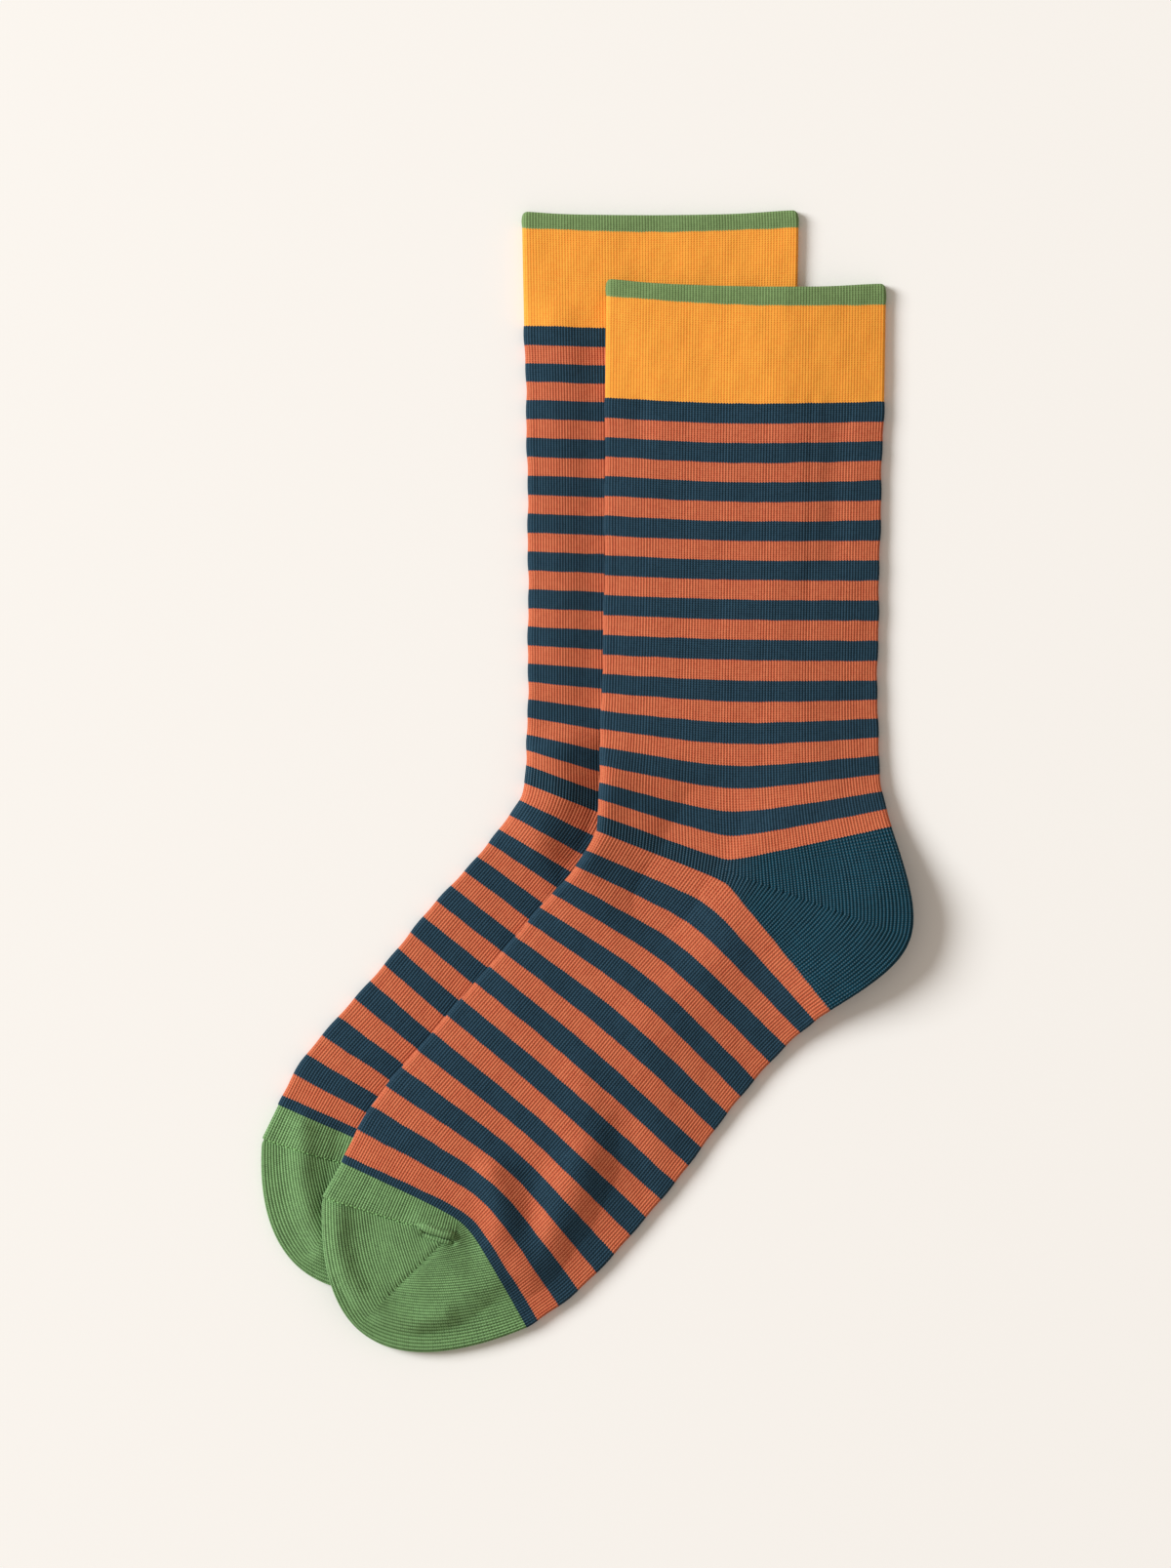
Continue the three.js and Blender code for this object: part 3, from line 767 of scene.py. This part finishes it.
def gore_marks(first_wale, long, reach, depth):
    """The line of small tight stitches where a turned pocket's halves meet."""
    def inset(row, share):
        outward = np.clip((share - first_wale) / (1 - first_wale), 0, 1)
        away = (row - 0.5) * long * outward
        shown = smooth(0.03, 0.12, outward) * (1 - smooth(reach - 0.08, reach, outward))
        beat = 0.55 + 0.45 * np.cos(2 * np.pi * outward * long / 2.1)
        return depth * shown * beat * np.exp(-(away / 0.7) ** 2)
    return inset


teal_knit = knit_material("teal_knit", BAND_YARN, edges=HEEL_EDGES, contrast=1.6, painted_highlight=0.10, pocket_yarn=HEEL_YARN)
for sock in SOCKS:
    name = sock["name"]
    piece = knit_shell(f"{name}_heel_knit", sock, maps[name]["heel"], gore_rows(HEEL_ROWS),
                       turned_courses(HEEL_WALE, HEEL_BAND * COURSES, HEEL_COURSES),
                       groove=0.34, inset=gore_marks(HEEL_WALE, 60, 0.72, 0.5))
    finish_piece(piece, teal_knit, f"{name}_heel")

# Feet
# The striped tube from the heel to the toe cap, its stripes bent by the turned heel. It ends in a
# thin teal stripe of a few courses.
FOOT_ROWS = 110
LAST_STRIPE = 0.05      # the few courses more that the thin teal stripe has
for sock in SOCKS:
    name = sock["name"]
    along = np.linspace(0, 1, FOOT_ROWS + 1)
    foot_start = sock["leg"][-1][0] + HEEL_BAND
    courses = plain_courses(foot_start * COURSES, (foot_start + FOOT_STRIPES + LAST_STRIPE) * COURSES)
    piece = knit_shell(f"{name}_foot_knit", sock, maps[name]["foot"], along, courses,
                       swell=stripe_swell(foot_start, foot_start + FOOT_STRIPES))
    finish_piece(piece, striped_knit, f"{name}_foot")

# Toes
# The green cap, turned like the heel and closed across the toes by a linked seam. The seam's end
# puckers the cloth into a small fold in the middle of the side.
TOE_ROWS = 64
TOE_COURSES = 150
TOE_BAND = 14
SEAM_ROWS = np.array([0.03, 0.02, 0.013, 0.008, 0.004, 0.0])
TOE_EDGES = [("LESS_THAN", 0, TEAL_YARN)]
TUCK_START, TUCK_END = np.array((-11.8, 4.5)), np.array((0.2, 0.8))
TUCK_WIDE, TUCK_BOW = 1.45, -0.3
TUCK_HEIGHTS = {"upper": (1.8, 0.4), "lower": (0.5, 0.4)}
TUCK_ROLLS = ((0, 1, 1), (-2.3, 0.6, 0.45))      # place across the fold, and share of its width and height
toe_knit = knit_material("toe_knit", GREEN_YARN, edges=TOE_EDGES, contrast=1.55, painted_highlight=0.10)
toe_gore = gore_marks(TOE_WALE, 55, 0.72, 0.6)
toe_rows = gore_rows(TOE_ROWS)
toe_rows = np.concatenate([toe_rows[toe_rows < 0.965], 1 - SEAM_ROWS])


def toe_inset(row, share):
    """The gore's marks, and the fine groove of the linked seam across the toes."""
    return np.where(share > TOE_WALE, toe_gore(row, share), 0) + 0.6 * np.exp(-((1 - row) * 45 / 0.5) ** 2)


def tucked_end(name, sock, heights):
    """The folded end of the seam on both faces: a short roll of knit, pressed flat where something lies on it."""
    ring, rows = 20, 26
    start, end = np.array(sock["seam_end"]) + TUCK_START, np.array(sock["seam_end"]) + TUCK_END
    run = (end - start) / length(end - start)
    across = np.array((-run[1], run[0]))
    places, faces, knit = [], [], []
    for side, (offset, wide, tall) in product((1, -1), TUCK_ROLLS):
        high = heights[side < 0] * tall
        first = len(places)
        for j in range(rows + 1):
            t = (1 - math.cos(math.pi * j / rows)) / 2
            centre = mix(start, end, t) + across * (TUCK_BOW * 4 * t * (1 - t) + offset * smooth(0, 0.3, t))
            width = wide * TUCK_WIDE * mix(0.35, 1, smooth(0, 0.3, t)) * math.sqrt(max(0, 1 - abs(2 * t - 1) ** 8))
            middle, thick = levels(sock, centre[None], np.array([0.5]), crumple)
            z = middle[0] + side * (thick[0] - 0.2)
            for k in range(1 if j in (0, rows) else ring):
                around = 2 * math.pi * k / ring
                flat = centre + across * width * math.cos(around)
                rise = high * width / wide / TUCK_WIDE * math.sin(around)
                places.append((*flat * MM, (z + side * rise) * MM))
        last = len(places) - 1
        rims = []
        for k in range(ring):
            after = (k + 1) % ring
            rims.append((first, first + 1 + after, first + 1 + k))
            for j in range(rows - 2):
                base = first + 1 + j * ring
                rims.append((base + k, base + after, base + ring + after, base + ring + k))
            rims.append((last - ring + k, last - ring + after, last))
        faces += [face[::side] for face in rims]
    mesh = bpy.data.meshes.new(name)
    mesh.from_pydata(places, [], faces)
    mesh.polygons.foreach_set("use_smooth", np.ones(len(mesh.polygons), bool))
    layer = mesh.uv_layers.new(name="Knit")
    for loop in mesh.loops:
        x, y, z = mesh.vertices[loop.vertex_index].co
        layer.data[loop.index].uv = ((x - y * 0.3) / MM * 1.1, (y + x * 0.3 + z) / MM * 1.6 + 400)
    roll = bpy.data.objects.new(name, mesh)
    scene.collection.objects.link(roll)
    return roll


def stitch_beads(name, sock):
    """The linking yarn that shows as a row of short stitches along the seam, on both faces."""
    nub, end = np.array(sock["nub"]), np.array(sock["seam_end"])
    run = (end - nub) / length(end - nub)
    across = np.array((-run[1], run[0]))
    ups, downs = [], []
    places, faces = [], []
    ring, rows = 8, 5
    for i, step in enumerate(np.arange(2.5, 0.68 * length(end - nub), 1.35)):
        centre = nub + run * step + across * (0.12 * math.sin(2.7 * i))
        middle, thick = levels(sock, centre[None], np.array([0.5]), crumple)
        for side in (1, -1):
            z = middle[0] + side * (thick[0] - 0.42)
            first = len(places)
            for j in range(rows + 1):
                lean = math.pi * j / rows
                for k in range(1 if j in (0, rows) else ring):
                    around = 2 * math.pi * k / ring
                    flat = centre + run * 0.47 * math.cos(lean) + across * 0.26 * math.sin(lean) * math.cos(around)
                    places.append((*flat * MM, (z + 0.36 * math.sin(lean) * math.sin(around)) * MM))
            last = first + 1 + (rows - 1) * ring
            for k in range(ring):
                after = (k + 1) % ring
                faces.append((first, first + 1 + after, first + 1 + k))
                for j in range(rows - 2):
                    base = first + 1 + j * ring
                    faces.append((base + k, base + after, base + ring + after, base + ring + k))
                base = last - ring
                faces.append((base + k, base + after, last))
    mesh = bpy.data.meshes.new(name)
    mesh.from_pydata(places, [], faces)
    mesh.polygons.foreach_set("use_smooth", np.ones(len(mesh.polygons), bool))
    bead = bpy.data.objects.new(name, mesh)
    scene.collection.objects.link(bead)
    return bead


linking_yarn = bpy.data.materials.new("linking_yarn")
linking_yarn.use_nodes = True
linking_shader = linking_yarn.node_tree.nodes["Principled BSDF"]
linking_shader.inputs["Base Color"].default_value = (*(1.25 * part for part in GREEN_YARN), 1)
linking_shader.inputs["Roughness"].default_value = 0.85
linking_shader.inputs["Specular IOR Level"].default_value = 0.2

for sock in SOCKS:
    name = sock["name"]
    piece = knit_shell(f"{name}_toe_knit", sock, maps[name]["toe"], toe_rows,
                       turned_courses(TOE_WALE, TOE_BAND, TOE_COURSES), groove=0.3, closed=True, inset=toe_inset)
    finish_piece(piece, toe_knit, f"{name}_toe")
    beads = stitch_beads(f"{name}_seam_stitches", sock)
    beads.data.materials.append(linking_yarn)
    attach(beads, "root")
    tuck = tucked_end(f"{name}_seam_tuck", sock, TUCK_HEIGHTS[name])
    tuck.data.materials.append(toe_knit)
    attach(tuck, "root")

# Cut of the cloth
# Each piece is a tube, the way round by the way along; here the socks are only taken in turn by name.
for sock in SOCKS:
    name = sock["name"]
